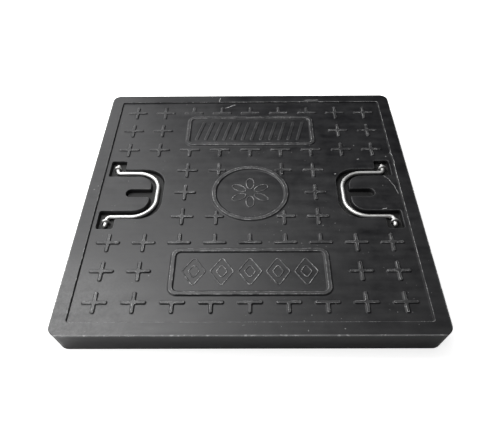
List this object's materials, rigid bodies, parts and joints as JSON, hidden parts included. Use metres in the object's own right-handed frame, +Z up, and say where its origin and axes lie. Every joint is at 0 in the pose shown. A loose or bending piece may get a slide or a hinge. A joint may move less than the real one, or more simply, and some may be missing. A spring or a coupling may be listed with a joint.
{
  "type": "manhole cover",
  "caption": "Square composite access cover with a raised border, anti-slip crosses, a ribbed underside and bent-wire lifting handles that lie flush in its top.",
  "frame": {"origin": "centre of the cover's underside", "axes": "+Z up through the cover to its trafficked top; +X towards the right handle; -Y towards the viewer in the reference view"},
  "size_m": [0.5, 0.5, 0.04],
  "materials": {
    "composite": "satin",
    "stainless": "polished",
    "bar_steel": "matte"
  },
  "bodies": {
    "cover": {"cover_body": "composite", "staple_left_front": "stainless", "staple_left_rear": "stainless", "staple_right_front": "stainless", "staple_right_rear": "stainless", "bar_x_1": "bar_steel", "bar_x_2": "bar_steel", "bar_x_3": "bar_steel", "bar_x_4": "bar_steel", "bar_x_5": "bar_steel", "bar_x_6": "bar_steel", "bar_x_7": "bar_steel", "bar_x_8": "bar_steel", "bar_y_1": "bar_steel", "bar_y_2": "bar_steel", "bar_y_3": "bar_steel", "bar_y_4": "bar_steel", "bar_y_5": "bar_steel", "bar_y_6": "bar_steel", "bar_y_7": "bar_steel", "bar_y_8": "bar_steel"},
    "left_handle": {"handle_left": "stainless"},
    "right_handle": {"handle_right": "stainless"}
  },
  "joints": [
    {"name": "left_handle_pivot", "type": "hinge", "parent": "cover", "child": "left_handle", "pos_m": [-0.2118, 0, 0.0335], "axis": [0, -1, 0], "range_deg": [0, 145]},
    {"name": "right_handle_pivot", "type": "hinge", "parent": "cover", "child": "right_handle", "pos_m": [0.2118, 0, 0.0335], "axis": [0, 1, 0], "range_deg": [0, 145]}
  ]
}
